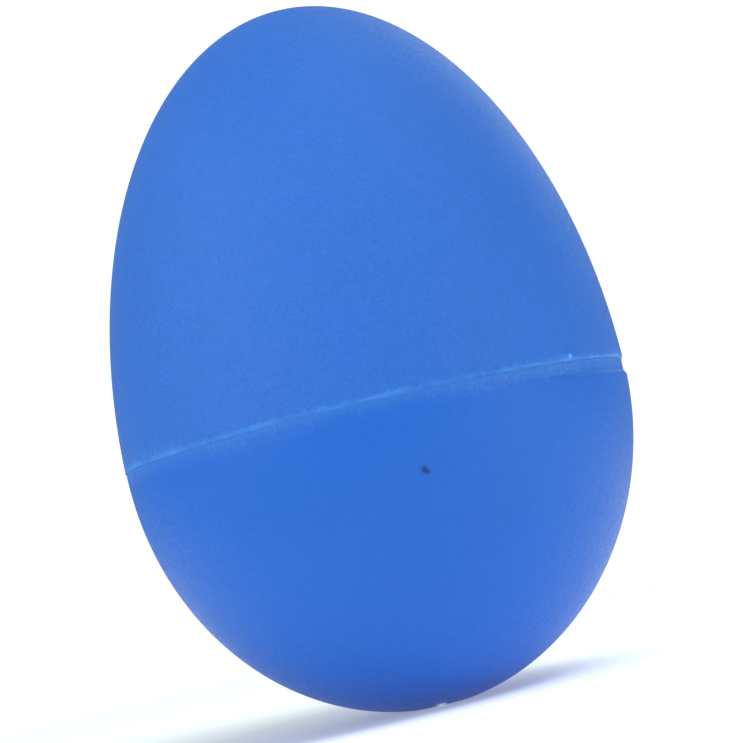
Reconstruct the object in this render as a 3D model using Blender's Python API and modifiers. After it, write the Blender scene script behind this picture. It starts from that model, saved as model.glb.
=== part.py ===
"""Egg shaker: a sealed plastic egg in two halves, with loose steel shot inside.

The egg stands on its big end, on a small flat. Its axis of revolution is the Z axis and the flat
lies at z = 0. Every half of the outline is a half ellipse, and the two meet at the widest circle,
where the halves of the shell are joined.
"""

from math import cos, hypot, pi, sin, sqrt

import bmesh
import bpy

MM = 0.001

# Driving dimensions of the outer shape
MAX_RADIUS = 20.0 * MM
UPPER_HEIGHT = 33.5 * MM        # from the seam to the small end's tip
LOWER_HEIGHT = 22.8 * MM        # from the seam to the big end's tip, before the flat is cut
FLAT_DEPTH = 0.2 * MM           # how much the flat takes off the big end's tip
WALL = 1.6 * MM
CLEARANCE = 0.3 * MM            # between any two pieces

# The joint between the halves: a tongue on the lower half, inside a skirt on the upper half
SKIRT_THICKNESS = 0.9 * MM
SKIRT_DEPTH = 2.6 * MM
TONGUE_THICKNESS = 1.0 * MM
TONGUE_BLEND = 3.0 * MM         # how far below the seam the tongue's root runs into the wall
FLASH_PROUD = 0.12 * MM         # weld flash along the upper rim
FLASH_HEIGHT = 0.45 * MM
NOTCH_DEPTH = 0.3 * MM          # recess along the lower half's shoulder
NOTCH_HEIGHT = 1.1 * MM

# The shot
SHOT_RADIUS = 2.0 * MM
SHOT_PITCH = 4.3 * MM           # from each ball to its neighbours, seen from above
SHOT_RINGS = 3                  # rings around the middle ball

SEAM_Z = LOWER_HEIGHT - FLAT_DEPTH
INNER_RADIUS = MAX_RADIUS - WALL
UPPER_INNER_HEIGHT = UPPER_HEIGHT - WALL
LOWER_INNER_HEIGHT = LOWER_HEIGHT - WALL

ROUND_STEPS = 48                # sides of each turned piece
OUTER_STEPS = 13                # points along a quarter of the outline
INNER_STEPS = 10


def plastic(name, colour, roughness):
    """A glossless moulded plastic."""
    material = bpy.data.materials.new(name)
    material.use_nodes = True
    shader = material.node_tree.nodes["Principled BSDF"]
    shader.inputs["Base Color"].default_value = (*colour, 1.0)
    shader.inputs["Roughness"].default_value = roughness
    return material


def steel(name):
    """The bright steel of the shot."""
    material = bpy.data.materials.new(name)
    material.use_nodes = True
    shader = material.node_tree.nodes["Principled BSDF"]
    shader.inputs["Base Color"].default_value = (0.58, 0.57, 0.55, 1.0)
    shader.inputs["Metallic"].default_value = 1.0
    shader.inputs["Roughness"].default_value = 0.3
    return material


def quarter_ellipse(radius, height, low, high, steps):
    """Points on a half outline, as radius and height above the seam, from angle low to high.

    The angle is 0 at the seam and a quarter turn at the tip, where the radius is 0. A negative
    height gives the half below the seam.
    """
    angles = [low + (high - low) * i / steps for i in range(steps + 1)]
    return [(radius * cos(a), height * sin(a)) for a in angles]


def angle_at_height(fraction):
    """The angle at which a quarter ellipse reaches a fraction of its height, by bisection."""
    low, high = 0.0, pi / 2
    for _ in range(60):
        middle = (low + high) / 2
        if sin(middle) < fraction:
            low = middle
        else:
            high = middle
    return low


def turned(name, outline, material):
    """Turns an outline of radius and height above the seam into a solid around Z.

    The outline starts and ends on the axis, and it runs down the outer side and up the inner one.
    """
    mesh = bpy.data.meshes.new(name)
    points = [(r, 0.0, SEAM_Z + z) for r, z in outline]
    edges = [(i, i + 1) for i in range(len(points) - 1)]
    mesh.from_pydata(points, edges, [])
    piece = bpy.data.objects.new(name, mesh)
    screw = piece.modifiers.new("Turn", "SCREW")
    screw.axis = "Z"
    screw.steps = ROUND_STEPS
    screw.render_steps = ROUND_STEPS
    screw.use_merge_vertices = True
    screw.merge_threshold = 0.00001
    screw.use_smooth_shade = True
    mesh.materials.append(material)
    return piece


def upper_outline():
    """The small-end half: down the outside, around the rim and skirt, and up the inside."""
    rim = CLEARANCE / 2
    flash_top = rim + FLASH_HEIGHT
    skirt_radius = MAX_RADIUS - SKIRT_THICKNESS
    skirt_top = rim + SKIRT_DEPTH
    above_flash = angle_at_height((flash_top + FLASH_PROUD) / UPPER_HEIGHT)
    above_skirt = angle_at_height(skirt_top / UPPER_INNER_HEIGHT)
    outside = quarter_ellipse(MAX_RADIUS, UPPER_HEIGHT, pi / 2, above_flash, OUTER_STEPS)
    flash = [
        (MAX_RADIUS + FLASH_PROUD, flash_top),
        (MAX_RADIUS + FLASH_PROUD, rim),
    ]
    skirt = [(skirt_radius, rim), (skirt_radius, skirt_top)]
    inside = quarter_ellipse(
        INNER_RADIUS, UPPER_INNER_HEIGHT, above_skirt, pi / 2, INNER_STEPS
    )
    return on_axis(outside + flash + skirt + inside)


def lower_outline():
    """The big-end half: up the inside of the bowl, over the tongue and down the outside."""
    shoulder = -CLEARANCE / 2
    tongue_outer = MAX_RADIUS - SKIRT_THICKNESS - CLEARANCE
    tongue_inner = tongue_outer - TONGUE_THICKNESS
    tongue_top = CLEARANCE / 2 + SKIRT_DEPTH - CLEARANCE
    below_notch = angle_at_height(NOTCH_HEIGHT / LOWER_HEIGHT)
    flat_edge = angle_at_height((LOWER_HEIGHT - FLAT_DEPTH) / LOWER_HEIGHT)
    below_tongue = angle_at_height(TONGUE_BLEND / LOWER_INNER_HEIGHT)
    tongue = [
        (tongue_inner, tongue_top),
        (tongue_outer, tongue_top),
        (tongue_outer, shoulder),
    ]
    notch = [(MAX_RADIUS - NOTCH_DEPTH, shoulder)]
    outside = quarter_ellipse(
        MAX_RADIUS, -LOWER_HEIGHT, below_notch, flat_edge, OUTER_STEPS
    )
    flat = [(0.0, -SEAM_Z)]
    inside = quarter_ellipse(
        INNER_RADIUS, -LOWER_INNER_HEIGHT, pi / 2, below_tongue, INNER_STEPS
    )
    root = [(tongue_inner, shoulder)]
    return on_axis(inside + root + tongue + notch + outside + flat)


def on_axis(outline):
    """Sets to exactly 0 the radii that rounding leaves a hair away from the axis."""
    return [(0.0 if r < 1e-9 else r, z) for r, z in outline]


def bowl_height(radius):
    """The height above the seam of a ball's centre when the ball lies a clearance off the bowl.

    The centre is on the curve that runs parallel to the bowl's inner ellipse.
    """
    offset = SHOT_RADIUS + CLEARANCE
    low, high = 0.0, pi / 2
    for _ in range(60):
        middle = (low + high) / 2
        if parallel_point(middle, offset)[0] > radius:
            low = middle
        else:
            high = middle
    return parallel_point(low, offset)[1]


def parallel_point(angle, offset):
    """A point at a distance inside the bowl's inner ellipse, as radius and height."""
    r = INNER_RADIUS * cos(angle)
    z = -LOWER_INNER_HEIGHT * sin(angle)
    normal_r = cos(angle) / INNER_RADIUS
    normal_z = -sin(angle) / LOWER_INNER_HEIGHT
    length = hypot(normal_r, normal_z)
    return r - offset * normal_r / length, z - offset * normal_z / length


def shot_places():
    """The balls' centres: a triangular grid, seen from above, laid down onto the bowl.

    Cells are counted along two of the grid's directions. The grid's six farthest corners stay
    empty, because the bowl's wall is too steep there for a ball to lie beside its neighbours.
    """
    reach = range(-SHOT_RINGS, SHOT_RINGS + 1)
    cells = [(a, b) for a in reach for b in reach if abs(a + b) <= SHOT_RINGS]
    places = [(SHOT_PITCH * (a + b / 2), SHOT_PITCH * b * sqrt(3) / 2) for a, b in cells]
    corner_radius = SHOT_PITCH * SHOT_RINGS
    kept = [place for place in places if hypot(*place) < corner_radius - CLEARANCE]
    kept.sort(key=lambda place: round(hypot(*place), 6))
    return [(x, y, bowl_height(hypot(x, y))) for x, y in kept]


def shot_mesh(material):
    """The mesh that every ball of the shot shares."""
    mesh = bpy.data.meshes.new("shot")
    build = bmesh.new()
    bmesh.ops.create_icosphere(build, subdivisions=2, radius=SHOT_RADIUS)
    build.to_mesh(mesh)
    build.free()
    mesh.shade_smooth()
    mesh.materials.append(material)
    return mesh


def main():
    for old in list(bpy.data.objects):
        bpy.data.objects.remove(old, do_unlink=True)

    parts = bpy.data.collections.new("egg_shaker")
    bpy.context.scene.collection.children.link(parts)

    upper_blue = plastic("upper_shell_plastic", (0.034, 0.162, 0.670), 0.5)
    lower_blue = plastic("lower_shell_plastic", (0.032, 0.152, 0.640), 0.5)
    parts.objects.link(turned("upper_shell", upper_outline(), upper_blue))
    parts.objects.link(turned("lower_shell", lower_outline(), lower_blue))

    ball = shot_mesh(steel("shot_steel"))
    for number, (x, y, z) in enumerate(shot_places(), start=1):
        piece = bpy.data.objects.new(f"shot_{number:02d}", ball)
        piece.location = (x, y, SEAM_Z + z)
        parts.objects.link(piece)


main()
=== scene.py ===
"""Looks of the egg shaker: two moulded plastic half shells, welded at the seam, and the steel shot
inside them. Everything is in metres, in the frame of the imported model, with +Z along the egg."""

import math
import random

import bmesh
import bpy
from mathutils import Matrix, Vector, noise


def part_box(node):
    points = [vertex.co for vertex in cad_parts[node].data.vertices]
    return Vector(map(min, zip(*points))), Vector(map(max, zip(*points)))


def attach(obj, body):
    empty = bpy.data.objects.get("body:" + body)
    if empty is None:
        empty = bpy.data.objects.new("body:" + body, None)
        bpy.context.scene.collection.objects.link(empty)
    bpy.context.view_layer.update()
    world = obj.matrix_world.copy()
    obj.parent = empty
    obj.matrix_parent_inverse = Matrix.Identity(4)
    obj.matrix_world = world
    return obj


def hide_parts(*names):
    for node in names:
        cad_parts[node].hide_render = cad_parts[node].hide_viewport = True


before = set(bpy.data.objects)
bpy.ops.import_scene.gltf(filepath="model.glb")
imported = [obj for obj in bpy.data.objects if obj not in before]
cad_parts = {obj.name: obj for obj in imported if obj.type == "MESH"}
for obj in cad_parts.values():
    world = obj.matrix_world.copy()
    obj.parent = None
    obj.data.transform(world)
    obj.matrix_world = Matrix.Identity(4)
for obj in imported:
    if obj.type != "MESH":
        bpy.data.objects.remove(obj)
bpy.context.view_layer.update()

MM = 0.001

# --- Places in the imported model, and the sizes it was built to ---------------------------------
UPPER_LOW, UPPER_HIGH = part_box("upper_shell")
LOWER_LOW, LOWER_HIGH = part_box("lower_shell")
CLEARANCE = 0.3 * MM                           # between the solids of the two shells
SEAM_Z = UPPER_LOW.z - CLEARANCE / 2
RADIUS = LOWER_HIGH.x                          # of the widest circle, at the seam
UPPER_HEIGHT = UPPER_HIGH.z - SEAM_Z
FLAT_DEPTH = 0.2 * MM                          # what the rest flat takes off the big end's tip
LOWER_HEIGHT = SEAM_Z - LOWER_LOW.z + FLAT_DEPTH
FLASH_PROUD = UPPER_HIGH.x - RADIUS            # the most that the weld flash may stand out
TONGUE_TOP = LOWER_HIGH.z
WALL = 1.6 * MM
SKIRT_THICKNESS = 0.9 * MM
TONGUE_THICKNESS = 1.0 * MM

# --- The fine shape of the seam ---------------------------------------------------------------
WELD_GAP = 0.004 * MM                          # what is left between the shells
SHELL_SHIFT = 0.05 * MM                        # how far the lower shell sits off towards +X
SEAM_BOW = 0.18 * MM                           # how far the seam rises at the egg's two sides
BOW_REACH = 4 * MM                             # how far above and below the seam that still shows
FLASH_HEIGHT = 0.60 * MM                       # of the band that holds the flash
FLASH_LIMIT = 0.97 * FLASH_PROUD               # keeps the flash inside the CAD's box
CREST_HEIGHT = 0.17 * MM                       # of the flash's crest above the seam
CREST_REACH = 0.16 * MM                        # from the crest to where the flash runs out
THINNEST_FLASH = 0.05                          # as a share of FLASH_PROUD
GROOVE_DEPTH = 0.20 * MM                       # of the groove at the seam, where it is deepest
GROOVE_TOP = 0.27 * MM                         # how far above the seam it starts
GROOVE_EDGE = 0.37 * MM                        # the height over which it reaches its depth
GROOVE_FULL = 0.78 * MM                        # how far below the seam it keeps that depth
GROOVE_END = 1.22 * MM                         # and where it has run out

# --- Marks on the shells: X and Y, and the height above the seam, in millimetres --------------
FLASH_DROP = (14.81, -13.43, 0.44)             # a drop of plastic on the weld line
DROP_RADIUS = 0.21
DARK_SPECK = ((2.53, -19.27, -5.41), (2.70, -19.20, -5.58))
FAINT_SPECK = (2.89, -18.65, 11.10)
RUBBED_PATCH = (-18.17, -8.36, 0.43)
GATE_SCAR = (0.0, -3.30)                       # X and Y only: it is on the big end
GATE_REACH = (0.36, 0.20)                      # half the stub's size along X and along Y
GATE_LENGTH = 0.055                            # how far it hangs down

# --- The meshes -------------------------------------------------------------------------------
SEGMENTS = 384                                 # around the egg
SEAM_FACTOR = 4                                # times as many along the seam
FINE_KINDS = ("flash", "rim", "groove")        # the kinds of row that are along the seam
GATE_RADIUS = 4.2 * MM                         # of the finely meshed round at the big end
SHARP_ANGLE = math.radians(50)

# --- Colours, linear --------------------------------------------------------------------------
UPPER_BLUE = (0.0150, 0.1325, 0.551)
LOWER_BLUE = (0.0040, 0.1150, 0.529)
PALE_DUST = (0.09, 0.27, 0.74, 1.0)
DARK_DUST = (0.004, 0.05, 0.30, 1.0)
WELD_LINE = (0.034, 0.203, 0.64, 1.0)
WELD_THREAD = (0.07, 0.28, 0.75, 1.0)          # the brighter thread along the weld line
WELD_EDGE = (0.10, 0.30, 0.74, 1.0)            # and its edge, where the groove is deep
PALE_DROP = (0.13, 0.37, 0.86, 1.0)
UPPER_SCUFFS = (0.06, 0.225, 0.65, 1.0)
RUBBED_CURLS = (0.06, 0.22, 0.62, 1.0)
FAINT_BLUE = (0.003, 0.05, 0.36, 1.0)          # of the faint speck
UNDER_SEAM = (0.030, 0.175, 0.57, 1.0)
WORN_BAND = (0.045, 0.165, 0.52, 1.0)
WORN_GRIT = (0.09, 0.24, 0.60, 1.0)
SPECK_HALO = (0.004, 0.07, 0.33, 1.0)
SPECK_CORE = (0.001, 0.035, 0.20, 1.0)
# a painted glint: a near-white spot that stands in for the light the gate's stub catches
GATE_PAINTED_GLINT = (0.75, 0.88, 0.98, 1.0)
BRIGHT_STEEL = (0.60, 0.59, 0.57, 1.0)
DULL_STEEL = (0.42, 0.41, 0.39, 1.0)
FLOOR_WHITE = (0.94, 0.92, 0.91, 1.0)

# --- The studio -------------------------------------------------------------------------------
MIDDLE = Vector((0.0, 0.0, 0.028))             # where the lights point
LIGHT_DISTANCE = 0.5
LIGHT_SIZE = 0.20
FLOOR_RADIUS = 0.25
DAYLIGHT = (0.82, 0.965, 1.0)                  # the tint of what lights the egg
FLOOR_TINT = (0.92, 0.97, 1.0)                 # the tint of the floor's own light


def shell_radius(z, wall=0.0):
    """Radius of a shell's surface at a height. With a wall, it is the surface that far inside."""
    semi_axis = UPPER_HEIGHT if z > SEAM_Z else LOWER_HEIGHT
    share = (z - SEAM_Z) / (semi_axis - wall)
    return (RADIUS - wall) * math.sqrt(max(0.0, 1.0 - share * share))


def ellipse_heights(z_from, z_to, semi_axis, count):
    """Heights evenly spaced in angle along a half ellipse that is centred on the seam."""
    first = math.asin(max(-1.0, min(1.0, (z_from - SEAM_Z) / semi_axis)))
    last = math.asin(max(-1.0, min(1.0, (z_to - SEAM_Z) / semi_axis)))
    angles = [first + (last - first) * i / count for i in range(count + 1)]
    return [SEAM_Z + semi_axis * math.sin(a) for a in angles]


def smooth_step(x):
    """Rises smoothly from 0 to 1 as x does."""
    x = max(0.0, min(1.0, x))
    return x * x * (3 - 2 * x)


def around(azimuth, waves, seed):
    """Noise from -1 to 1 that closes on itself around the egg, with about that many waves."""
    reach = waves / (2 * math.pi)
    return noise.noise(Vector((reach * math.cos(azimuth), reach * math.sin(azimuth), seed)))


def seam_rise(azimuth, height):
    """How far the bow of the seam lifts a point of the outside, at some height."""
    nearness = smooth_step(1.0 - abs(height - SEAM_Z) / BOW_REACH)
    return SEAM_BOW * abs(math.cos(azimuth)) ** 8 * nearness


# --- Turned meshes ----------------------------------------------------------------------------
def turned_piece(name, rows, warp):
    """A closed turned solid: rows of (radius, height, kind) from axis to axis.

    A row's kind says which part of the surface it is on. warp says how far each point moves
    outwards and upwards, from its kind, azimuth, radius and height.
    """
    points, rings = [], []
    for radius, height, kind in rows:
        count = SEGMENTS * (SEAM_FACTOR if kind in FINE_KINDS else 1) if radius > 0 else 1
        rings.append((len(points), count))
        for i in range(count):
            azimuth = 2 * math.pi * i / count
            outwards, upwards = warp(kind, azimuth, radius, height) if count > 1 else (0.0, 0.0)
            r = radius + outwards
            points.append((r * math.cos(azimuth), r * math.sin(azimuth), height + upwards))
    faces = []
    for above, below in zip(rings, rings[1:]):
        faces += faces_between(above, below)
    mesh = bpy.data.meshes.new(name)
    mesh.from_pydata(points, [], faces)
    mesh.shade_smooth()
    mesh.set_sharp_from_angle(angle=SHARP_ANGLE)
    piece = bpy.data.objects.new(name, mesh)
    bpy.context.scene.collection.objects.link(piece)
    return piece


def faces_between(above, below):
    """Faces between two rings of points, each a first index and a count."""
    (a, n), (b, m) = above, below

    def up(i):
        return a + i % n

    def down(i):
        return b + i % m

    if n == m:
        return [(up(i), down(i), down(i + 1), up(i + 1)) for i in range(n)]
    if n == 1:
        return [(a, down(i), down(i + 1)) for i in range(m)]
    if m == 1:
        return [(b, up(i + 1), up(i)) for i in range(n)]
    faces = []
    if n < m:
        factor = m // n
        for i in range(n):
            middle = factor * i + factor // 2
            faces.append((up(i), down(middle), up(i + 1)))
            for j in range(factor * i, factor * (i + 1)):
                faces.append((up(i if j < middle else i + 1), down(j), down(j + 1)))
    else:
        factor = n // m
        for i in range(m):
            middle = factor * i + factor // 2
            faces.append((up(middle), down(i), down(i + 1)))
            for j in range(factor * i, factor * (i + 1)):
                faces.append((up(j), down(i if j < middle else i + 1), up(j + 1)))
    return faces


# --- The upper shell --------------------------------------------------------------------------
def upper_rows():
    """Rows of the upper shell: down the outside, around the rim and skirt, and up the inside."""
    skin_rows, flash_rows, inside_rows = 72, 14, 36
    rim = SEAM_Z + WELD_GAP / 2
    rim_width = 0.25 * MM
    flash_top = rim + FLASH_HEIGHT
    tip = SEAM_Z + UPPER_HEIGHT
    inner_tip = tip - WALL
    skirt_inside = RADIUS - SKIRT_THICKNESS
    skirt_top = TONGUE_TOP + CLEARANCE
    rows = [(0.0, tip, "skin")]
    for z in ellipse_heights(tip, flash_top, UPPER_HEIGHT, skin_rows)[1:-1]:
        rows.append((shell_radius(z), z, "skin"))
    for i in range(flash_rows + 1):
        z = flash_top + (rim - flash_top) * i / flash_rows
        rows.append((shell_radius(z), z, "flash"))
    rows.append((RADIUS - rim_width, rim, "rim"))
    rows.append((skirt_inside, rim, "inside"))
    rows.append((skirt_inside, skirt_top, "inside"))
    for z in ellipse_heights(skirt_top, inner_tip, UPPER_HEIGHT - WALL, inside_rows)[:-1]:
        rows.append((shell_radius(z, WALL), z, "inside"))
    rows.append((0.0, inner_tip, "inside"))
    return rows


def flash_bead(azimuth, rise):
    """How far the weld flash stands out at a height above the seam: an uneven, ragged bead."""
    swells = 0.15 * around(azimuth, waves=14, seed=3.1)
    crumbs = 0.15 * around(azimuth, waves=90, seed=7.7)
    thickness = 0.15 + swells + crumbs
    crest = CREST_HEIGHT * (1.0 + 0.5 * around(azimuth, waves=40, seed=2.3))
    reach = CREST_REACH * (1.0 + 0.5 * around(azimuth, waves=210, seed=5.9))
    section = max(0.0, 1.0 - ((rise - crest) / reach) ** 2)
    return FLASH_PROUD * max(THINNEST_FLASH, thickness) * section ** 1.5


def drop_bead(azimuth, radius, rise):
    """How far the drop of plastic on the flash stands out at a point: a low round cap."""
    x, y, z = (place * MM for place in FLASH_DROP)
    away = Vector((radius * math.cos(azimuth) - x, radius * math.sin(azimuth) - y, rise - z))
    share = away.length / (DROP_RADIUS * MM)
    return 0.8 * FLASH_PROUD * math.sqrt(max(0.0, 1.0 - share ** 2))


def warp_upper(kind, azimuth, radius, height):
    """Bows the outside and gives the rim its flash, its drop and the top of the groove."""
    if kind == "inside":
        return 0.0, 0.0
    upwards = seam_rise(azimuth, height)
    if kind == "rim":
        return -groove_depth(azimuth, 0.0), upwards
    if kind == "skin":
        return 0.0, upwards
    rise = height - SEAM_Z
    outwards = flash_bead(azimuth, rise) - groove_depth(azimuth, -rise)
    drop = drop_bead(azimuth, radius, rise + upwards)
    if drop > 0.0:
        outwards = max(outwards, drop)
    return min(outwards, FLASH_LIMIT), upwards


# --- The lower shell --------------------------------------------------------------------------
def lower_rows():
    """Rows of the lower shell: up the inside, over the tongue, and down the outside to the flat."""
    inside_rows, groove_rows, skin_rows, gate_rows = 32, 24, 60, 16
    shoulder = SEAM_Z - WELD_GAP / 2
    inner_tip = LOWER_LOW.z - FLAT_DEPTH + WALL
    tongue_root = shoulder - 3 * MM
    tongue_gap = 0.05 * MM
    tongue_outside = RADIUS - SKIRT_THICKNESS - tongue_gap
    tongue_inside = tongue_outside - TONGUE_THICKNESS
    groove_end = shoulder - GROOVE_END
    flat_z = LOWER_LOW.z
    flat_radius = shell_radius(flat_z)
    bevel = 0.1 * MM
    rows = [(0.0, inner_tip, "inside")]
    for z in ellipse_heights(inner_tip, tongue_root, LOWER_HEIGHT - WALL, inside_rows)[1:]:
        rows.append((shell_radius(z, WALL), z, "inside"))
    rows += [
        (tongue_inside, shoulder, "inside"),
        (tongue_inside, TONGUE_TOP - bevel, "inside"),
        (tongue_inside + bevel, TONGUE_TOP, "inside"),
        (tongue_outside - bevel, TONGUE_TOP, "inside"),
        (tongue_outside, TONGUE_TOP - bevel, "inside"),
        (tongue_outside, shoulder, "inside"),
    ]
    for i in range(groove_rows):
        z = shoulder + (groove_end - shoulder) * i / groove_rows
        rows.append((shell_radius(z), z, "groove"))
    gate_top = SEAM_Z - LOWER_HEIGHT * math.sqrt(1.0 - (GATE_RADIUS / RADIUS) ** 2)
    for z in ellipse_heights(groove_end, gate_top, LOWER_HEIGHT, skin_rows):
        rows.append((shell_radius(z), z, "skin"))
    for i in range(1, gate_rows + 1):
        r = GATE_RADIUS + (flat_radius - GATE_RADIUS) * i / gate_rows
        z = SEAM_Z - LOWER_HEIGHT * math.sqrt(1.0 - (r / RADIUS) ** 2)
        rows.append((r, z, "gate"))
    for share in (0.7, 0.35, 0.0):
        rows.append((flat_radius * share, flat_z, "flat"))
    return rows


def groove_depth(azimuth, drop):
    """Depth of the groove at some drop below the seam.

    It is deepest on the +X side, where the halves sit unevenly, and almost nothing at -X.
    """
    uneven = (0.5 + 0.5 * math.cos(azimuth)) ** 2
    depth = GROOVE_DEPTH * (0.02 + 0.98 * uneven)
    scuffs = 0.014 * MM * around(azimuth, waves=500, seed=90 * drop / MM) * (0.5 + uneven)
    ripple = 0.012 * MM * around(azimuth, waves=60, seed=1.5 + drop / MM)
    start = smooth_step((drop + GROOVE_TOP) / GROOVE_EDGE)
    end = 1.0 - smooth_step((drop - GROOVE_FULL) / (GROOVE_END - GROOVE_FULL))
    return (depth + scuffs + ripple) * start * end


def warp_lower(kind, azimuth, radius, height):
    """Shifts and bows the outside, and gives it the groove and the gate's stub."""
    if kind in ("inside", "flat"):
        return 0.0, 0.0
    if kind == "gate":
        return 0.0, -gate_nub(azimuth, radius)
    seam_share = smooth_step((height - LOWER_LOW.z) / (SEAM_Z - LOWER_LOW.z))
    outwards = SHELL_SHIFT * math.cos(azimuth) * seam_share
    if kind == "groove":
        outwards -= groove_depth(azimuth, SEAM_Z - height)
    return outwards, seam_rise(azimuth, height)


def gate_nub(azimuth, radius):
    """How far the stub that the moulding gate left hangs down from the big end."""
    x, y = GATE_SCAR
    reach_x, reach_y = GATE_REACH
    across = (radius * math.cos(azimuth) / MM - x) / reach_x
    along = (radius * math.sin(azimuth) / MM - y) / reach_y
    torn = 1.0 + 0.3 * around(azimuth, waves=160, seed=radius / MM * 4)
    return GATE_LENGTH * MM * math.exp(-(across ** 4) - along ** 4) * torn


# --- The shot ---------------------------------------------------------------------------------
def shot_piece(name, centre, radius, seed):
    """A ball of cold-headed steel shot: nearly round, with a faint pressed band and small dents.

    The base size keeps the highest point of band and dents together within the radius.
    """
    base_size, band_height, dent_depth = 0.990, 0.004, 0.005
    band_width = 0.10
    build = bmesh.new()
    bmesh.ops.create_icosphere(build, subdivisions=4, radius=1.0)
    pick = random.Random(seed)
    turn = Matrix.Rotation(pick.uniform(0, 2 * math.pi), 3, "Z")
    turn = turn @ Matrix.Rotation(pick.uniform(0, math.pi), 3, "X")
    for vertex in build.verts:
        direction = vertex.co.normalized()
        band = math.exp(-(direction.z / band_width) ** 2)
        dents = noise.noise(direction * 3.0 + Vector((seed, 0.0, 0.0)))
        size = radius * (base_size + band_height * band + dent_depth * dents)
        vertex.co = turn @ (direction * size)
    mesh = bpy.data.meshes.new(name)
    build.to_mesh(mesh)
    build.free()
    mesh.shade_smooth()
    piece = bpy.data.objects.new(name, mesh)
    piece.location = centre
    bpy.context.scene.collection.objects.link(piece)
    return piece


# --- Materials --------------------------------------------------------------------------------
class Nodes:
    """A short way to write a material's node tree. Lengths are in millimetres."""

    def __init__(self, name):
        self.material = bpy.data.materials.new(name)
        self.material.use_nodes = True
        self.tree = self.material.node_tree
        self.shader = self.tree.nodes["Principled BSDF"]

    def add(self, kind, settings=None, **inputs):
        """A new node, with its settings as a dict and its inputs as plug takes them."""
        made = self.tree.nodes.new(kind)
        for key, value in (settings or {}).items():
            setattr(made, key, value)
        for key, value in inputs.items():
            self.plug(made, key, value)
        return made

    def plug(self, node, key, value):
        """Sets or links an input, given by its name with underscores or as i and its number."""
        by_number = key[0] == "i" and key[1:].isdigit()
        socket = node.inputs[int(key[1:])] if by_number else node.inputs[key.replace("_", " ")]
        if isinstance(value, bpy.types.NodeSocket):
            self.tree.links.new(value, socket)
        else:
            socket.default_value = value

    def place_mm(self):
        """The point on the piece, in millimetres in the model's frame."""
        where = self.add("ShaderNodeTexCoord").outputs["Object"]
        return self.vector("SCALE", where, Scale=1.0 / MM)

    def vector(self, operation, a, b=None, **inputs):
        made = self.add("ShaderNodeVectorMath", {"operation": operation}, i0=a, **inputs)
        if b is not None:
            self.plug(made, "i1", b)
        return made.outputs["Value" if operation == "LENGTH" else "Vector"]

    def split(self, vector):
        return self.add("ShaderNodeSeparateXYZ", None, i0=vector).outputs

    def noise(self, place, size, detail=3.0, roughness=0.55, distortion=0.0):
        """Noise from 0 to 1, with blobs of about that size."""
        made = self.add(
            "ShaderNodeTexNoise", None, Vector=place, Scale=1.0 / size, Detail=detail,
            Roughness=roughness, Distortion=distortion,
        )
        return made.outputs[0]

    def math(self, operation, a, b=0.0):
        """A sum, a difference or any other operation of two values."""
        return self.add("ShaderNodeMath", {"operation": operation}, i0=a, i1=b).outputs[0]

    def product(self, first, *others):
        for other in others:
            first = self.math("MULTIPLY", first, other)
        return first

    def between(self, value, low, high, to_low=0.0, to_high=1.0):
        """Goes smoothly from to_low to to_high as value goes from low to high."""
        made = self.add(
            "ShaderNodeMapRange", {"interpolation_type": "SMOOTHSTEP"}, Value=value,
            From_Min=low, From_Max=high, To_Min=to_low, To_Max=to_high,
        )
        return made.outputs[0]

    def mix(self, share, a, b):
        """Colour a, with that share of colour b over it."""
        made = self.add("ShaderNodeMix", {"data_type": "RGBA"}, i0=share, i6=a, i7=b)
        return made.outputs[2]

    def spot(self, place, mark, radius, soft=0.35):
        """1 within a radius of a mark and 0 outside, with an uneven edge.

        The noise that makes it uneven adds half the radius to the distance, on average.
        """
        uneven = self.product(self.noise(place, radius, detail=1.0), radius)
        distance = self.math("ADD", self.distance(place, mark), uneven)
        return self.between(distance, radius * (1.5 - soft), radius * (1.5 + soft), 1.0, 0.0)

    def distance(self, place, mark):
        """How far the place is from a mark."""
        x, y, rise = mark
        return self.vector("LENGTH", self.vector("SUBTRACT", place, (x, y, SEAM_Z / MM + rise)))

    def specks(self, place, cell, radius, share):
        """Round specks of one size, in that share of the cells of an uneven grid."""
        made = self.add("ShaderNodeTexVoronoi", None, Vector=place, Scale=1.0 / cell)
        chosen = self.between(self.split(made.outputs["Color"])[0], share, share * 1.1, 1.0, 0.0)
        reach = radius / cell
        inside = self.between(made.outputs["Distance"], reach * 0.6, reach * 1.2, 1.0, 0.0)
        return self.product(chosen, inside)

    def surface(self, colour, roughness, bumps, strength, micrometres):
        """Plugs a colour, a roughness and bumps of that many micrometres into the shader."""
        bump = self.add(
            "ShaderNodeBump", None, Strength=strength, Distance=micrometres * 1e-6, Height=bumps
        )
        self.plug(self.shader, "Base_Color", colour)
        self.plug(self.shader, "Roughness", roughness)
        self.plug(self.shader, "Normal", bump.outputs[0])


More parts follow.
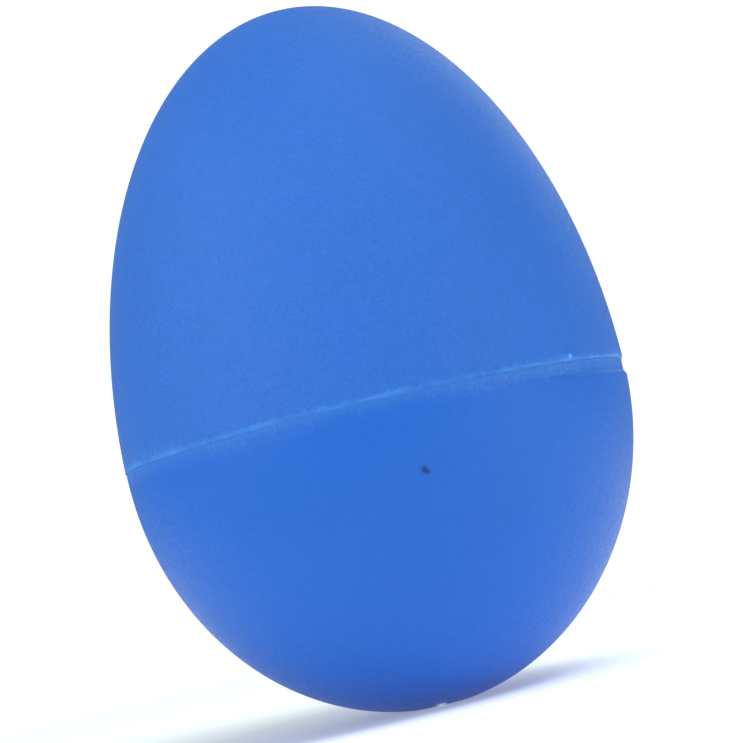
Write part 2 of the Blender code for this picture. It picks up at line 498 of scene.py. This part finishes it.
def moulded_plastic(name, colour, grain_depth, speckle, marks):
    """Satin blue plastic with a spark-eroded grain.

    grain_depth is in micrometres, and speckle is how much the colour varies, as a share. marks
    draws what one shell has on top of it: it takes the nodes, the place and the colour, and
    returns the colour and what to add to the roughness.
    """
    m = Nodes(name)
    place = m.place_mm()
    cloud = m.noise(place, 6.0, detail=2.0)
    mottle = m.noise(place, 0.9, detail=3.0)
    grain = m.noise(place, 0.34, detail=2.0, roughness=0.6)
    fine = m.noise(place, 0.13, detail=2.0, roughness=0.7)
    deep = (*((1.0 - speckle) * c for c in colour), 1.0)
    pale = (*((1.0 + speckle) * c for c in colour), 1.0)
    clouded = m.math("ADD", m.product(cloud, 0.1), m.product(mottle, 0.15))
    peppered = m.product(m.noise(place, 0.20, detail=3.0, roughness=0.75), 0.75)
    tone = m.math("ADD", clouded, peppered)
    shown = m.mix(m.between(tone, 0.42, 0.58), deep, pale)
    elsewhere = m.vector("ADD", place, (31.0, 17.0, 5.0))
    pale_dust = m.specks(place, cell=3.7, radius=0.055, share=0.16)
    dark_dust = m.specks(elsewhere, cell=6.1, radius=0.07, share=0.10)
    shown = m.mix(m.product(pale_dust, 0.5), shown, PALE_DUST)
    shown = m.mix(m.product(dark_dust, 0.6), shown, DARK_DUST)
    shown, rubbed = marks(m, place, shown)

    roughness = m.math("ADD", m.between(grain, 0.3, 0.7, 0.36, 0.47), rubbed)
    bumps = m.math("ADD", m.math("ADD", fine, grain), mottle)
    m.surface(shown, roughness, bumps, strength=1.0, micrometres=grain_depth)
    m.shader.inputs["IOR"].default_value = 1.46
    m.shader.inputs["Specular IOR Level"].default_value = 0.42
    return m.material


def height_over_seam(m, place):
    """Height over the bowed seam, in millimetres."""
    x, _, z = m.split(place)[:3]
    share = m.math("ABSOLUTE", m.product(x, MM / RADIUS))
    bow = m.product(m.math("POWER", share, 8.0), SEAM_BOW / MM)
    return m.math("SUBTRACT", m.math("SUBTRACT", z, SEAM_Z / MM), bow)


def upper_marks(m, place, shown):
    """The pale weld line, a drop on it, the rubbed patch beside it, and a faint dark speck."""
    rise = height_over_seam(m, place)
    x = m.split(place)[0]
    ragged = m.noise(place, 0.5, detail=4.0, roughness=0.6)
    patches = m.noise(place, 3.6, detail=2.0)
    top = m.between(ragged, 0.25, 0.75, 0.28, 0.76)
    line = m.between(m.math("DIVIDE", rise, top), 0.35, 1.15, 1.0, 0.0)
    strength = m.between(patches, 0.38, 0.60, 0.40, 1.0)
    shown = m.mix(m.product(line, strength), shown, WELD_LINE)
    thread = m.between(m.math("ABSOLUTE", m.math("SUBTRACT", rise, 0.2)), 0.04, 0.12, 1.0, 0.0)
    broken = m.between(m.noise(place, 1.7, detail=3.0), 0.52, 0.62)
    shown = m.mix(m.product(thread, broken, 0.40), shown, WELD_THREAD)

    edge = m.between(rise, 0.16, 0.24, 1.0, 0.0)
    right = m.between(x, 15.5, 18.5)
    bright = m.product(edge, right, m.between(ragged, 0.35, 0.6))
    shown = m.mix(m.product(bright, 0.8), shown, WELD_EDGE)
    shown = m.mix(m.spot(place, FLASH_DROP, 0.20), shown, PALE_DROP)

    grit = m.noise(place, 0.2, detail=3.0, roughness=0.7)
    left = m.product(m.between(x, -19.0, -13.0, 1.0, 0.0), m.between(rise, 0.3, 1.6, 1.0, 0.0))
    scuffed = m.product(left, m.between(grit, 0.44, 0.64), 0.6)
    shown = m.mix(scuffed, shown, UPPER_SCUFFS)
    near = m.spot(place, RUBBED_PATCH, 1.3, soft=0.6)
    rings = m.product(m.distance(place, RUBBED_PATCH), 22.0)
    curls = m.between(m.math("SINE", m.math("ADD", rings, m.product(ragged, 5.0))), 0.55, 0.95)
    shown = m.mix(m.product(near, curls, 0.30), shown, RUBBED_CURLS)
    shown = m.mix(m.product(m.spot(place, FAINT_SPECK, 0.07), 0.7), shown, FAINT_BLUE)
    return shown, m.product(line, 0.06)


def lower_marks(m, place, shown):
    """The scuffed band under the seam, two dark specks that touch, and a painted glint at the gate.
    """
    drop = m.product(height_over_seam(m, place), -1.0)
    x = m.split(place)[0]
    patches = m.noise(place, 2.6, detail=3.0)
    grit = m.noise(place, 0.21, detail=3.0, roughness=0.7)
    band = m.between(drop, 0.40, 1.40, 1.0, 0.0)
    right = m.between(x, 4.0, 19.0, 0.30, 1.0)
    left = m.between(x, -19.5, -12.0, 0.45, 0.0)
    worn = m.product(band, m.math("ADD", right, left), m.between(patches, 0.30, 0.62, 0.35, 1.0))
    shown = m.mix(m.between(drop, 0.0, 0.7, 0.45, 0.0), shown, UNDER_SEAM)
    shown = m.mix(m.product(worn, 0.5), shown, WORN_BAND)
    shown = m.mix(m.product(worn, m.between(grit, 0.50, 0.64)), shown, WORN_GRIT)
    for mark in DARK_SPECK:
        halo = m.spot(place, mark, 0.34, soft=0.7)
        shown = m.mix(m.product(halo, 0.22), shown, SPECK_HALO)
    for mark in DARK_SPECK:
        shown = m.mix(m.spot(place, mark, 0.19), shown, SPECK_CORE)
    above_floor = 0.08
    gate = (*GATE_SCAR, above_floor - SEAM_Z / MM)
    # painted glint: a near-white spot on the gate's stub stands in for the light that it catches
    shown = m.mix(m.spot(place, gate, 0.42), shown, GATE_PAINTED_GLINT)
    return shown, m.product(worn, 0.12)


def shot_steel(name):
    """Bright tumbled steel with fine scratches and dull patches."""
    m = Nodes(name)
    place = m.place_mm()
    patches = m.noise(place, 1.2, detail=4.0)
    scratches = m.noise(place, 0.12, detail=2.0, distortion=1.5)
    colour = m.mix(m.between(patches, 0.4, 0.7), BRIGHT_STEEL, DULL_STEEL)
    roughness = m.between(patches, 0.3, 0.75, 0.16, 0.38)
    m.surface(colour, roughness, scratches, strength=0.2, micrometres=10.0)
    m.shader.inputs["Metallic"].default_value = 1.0
    return m.material


# --- The studio -------------------------------------------------------------------------------
def softbox(name, azimuth, elevation, watts, lit=None, tint=DAYLIGHT):
    """A square soft light that faces the egg. Azimuth 0 is the front, and 90 is the +X side.

    lit holds the objects that it lights: all of them, if none are given.
    """
    a, e = math.radians(azimuth), math.radians(elevation)
    towards = Vector((math.sin(a) * math.cos(e), -math.cos(a) * math.cos(e), math.sin(e)))
    lamp = bpy.data.lights.new(name, "AREA")
    lamp.shape = "SQUARE"
    lamp.size = LIGHT_SIZE
    lamp.energy = watts
    lamp.color = tint
    light = bpy.data.objects.new(name, lamp)
    light.location = MIDDLE + LIGHT_DISTANCE * towards
    light.rotation_euler = towards.to_track_quat("Z", "Y").to_euler()
    light.visible_camera = False
    if lit:
        receivers = bpy.data.collections.new(f"lit_by_{name}")
        for piece in lit:
            receivers.objects.link(piece)
        light.light_linking.receiver_collection = receivers
    bpy.context.scene.collection.objects.link(light)


def white_world(seen, front, back):
    """White all around. seen is how bright the camera sees it.

    What lights the egg goes from front to back along Y, and has the daylight's tint.
    """
    front_end, back_end = -0.4, 0.7             # Y of the directions between which it changes
    world = bpy.data.worlds.new("studio")
    world.use_nodes = True
    bpy.context.scene.world = world
    tree = world.node_tree
    tree.nodes.clear()
    ray = tree.nodes.new("ShaderNodeLightPath")
    mix = tree.nodes.new("ShaderNodeMixShader")
    out = tree.nodes.new("ShaderNodeOutputWorld")
    lighting = tree.nodes.new("ShaderNodeBackground")
    lighting.inputs["Color"].default_value = (*DAYLIGHT, 1.0)
    backdrop = tree.nodes.new("ShaderNodeBackground")
    backdrop.inputs["Color"].default_value = (1.0, 1.0, 1.0, 1.0)
    backdrop.inputs["Strength"].default_value = seen
    towards = tree.nodes.new("ShaderNodeSeparateXYZ")
    shade = tree.nodes.new("ShaderNodeMapRange")
    shade.interpolation_type = "SMOOTHSTEP"
    shade.inputs["From Min"].default_value = front_end
    shade.inputs["From Max"].default_value = back_end
    shade.inputs["To Min"].default_value = front
    shade.inputs["To Max"].default_value = back
    direction = tree.nodes.new("ShaderNodeTexCoord").outputs["Generated"]
    for output, socket in (
        (direction, towards.inputs[0]),
        (towards.outputs["Y"], shade.inputs["Value"]),
        (shade.outputs[0], lighting.inputs["Strength"]),
        (ray.outputs["Is Camera Ray"], mix.inputs[0]),
        (lighting.outputs[0], mix.inputs[1]),
        (backdrop.outputs[0], mix.inputs[2]),
        (mix.outputs[0], out.inputs["Surface"]),
    ):
        tree.links.new(output, socket)


def studio_floor():
    """A round white floor that fades into the white surroundings before its edge."""
    build = bmesh.new()
    bmesh.ops.create_circle(build, cap_ends=True, segments=96, radius=FLOOR_RADIUS)
    mesh = bpy.data.meshes.new("studio_floor")
    build.to_mesh(mesh)
    build.free()
    floor = bpy.data.objects.new("studio_floor", mesh)
    bpy.context.scene.collection.objects.link(floor)
    m = Nodes("floor_white")
    m.shader.inputs["Base Color"].default_value = FLOOR_WHITE
    m.shader.inputs["Roughness"].default_value = 0.9
    m.shader.inputs["Specular IOR Level"].default_value = 0.1
    m.shader.inputs["Emission Color"].default_value = (1.0, 1.0, 1.0, 1.0)
    m.shader.inputs["Emission Strength"].default_value = 0.27
    reach = m.vector("LENGTH", m.place_mm())
    edge = FLOOR_RADIUS / MM
    m.plug(m.shader, "Alpha", m.between(reach, 0.55 * edge, 0.95 * edge, 1.0, 0.0))
    mesh.materials.append(m.material)
    return floor


def photo_camera():
    """A little below the seam's level and far off, rolled so that the egg leans to the left."""
    distance = 0.170
    below_seam = 0.012
    lean = math.radians(13.12)
    shown_width = 0.05864                       # across the frame, at the egg's axis
    right_of_axis, over_seam = 0.00059, 0.00388
    aim = Vector((right_of_axis, 0.0, SEAM_Z + over_seam))
    place = Vector((0.0, -distance, SEAM_Z - below_seam))
    forward = (aim - place).normalized()
    tilted_up = Vector((math.sin(lean), 0.0, math.cos(lean)))
    right = forward.cross(tilted_up).normalized()
    up = right.cross(forward)
    camera_data = bpy.data.cameras.new("photo_camera")
    camera_data.lens = camera_data.sensor_width * (aim - place).length / shown_width
    camera_data.clip_start = 0.005
    camera = bpy.data.objects.new("photo_camera", camera_data)
    rotation = Matrix((right, up, -forward)).transposed()
    camera.matrix_world = Matrix.Translation(place) @ rotation.to_4x4()
    bpy.context.scene.collection.objects.link(camera)
    bpy.context.scene.camera = camera


def studio(shells):
    """Camera, surroundings, floor and lights. Some of the lights are for the shells alone."""
    photo_camera()
    bpy.context.scene.view_settings.view_transform = "Standard"
    white_world(seen=1.1, front=0.57, back=0.40)
    floor = studio_floor()
    softbox("key_left", -55, 34, 0.80, shells)
    softbox("low_left", -70, 26, 0.66, shells)
    softbox("key_right", 55, 45, 0.42)
    softbox("low_right", 60, 0, 0.54, shells)
    softbox("top", 45, 70, 0.634)
    softbox("back_low", 150, 25, 0.13, shells)
    softbox("back_high", 150, 45, 0.08, shells)
    softbox("floor_light", 38, 46, 1.05, [floor], FLOOR_TINT)


def main():
    upper = turned_piece("upper_shell_moulding", upper_rows(), warp_upper)
    lower = turned_piece("lower_shell_moulding", lower_rows(), warp_lower)
    upper.data.materials.append(
        moulded_plastic("upper_blue_plastic", UPPER_BLUE, 85.0, 0.06, upper_marks)
    )
    lower.data.materials.append(
        moulded_plastic("lower_blue_plastic", LOWER_BLUE, 45.0, 0.035, lower_marks)
    )
    for piece, node in ((upper, "upper_shell"), (lower, "lower_shell")):
        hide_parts(node)
        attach(piece, "shell")

    studio([upper, lower])

    steel = shot_steel("shot_bright_steel")
    for number, node in enumerate(sorted(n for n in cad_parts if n.startswith("shot_"))):
        low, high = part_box(node)
        ball = shot_piece(f"{node}_ball", (low + high) / 2, (high.z - low.z) / 2, number)
        ball.data.materials.append(steel)
        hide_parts(node)
        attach(ball, node)


main()
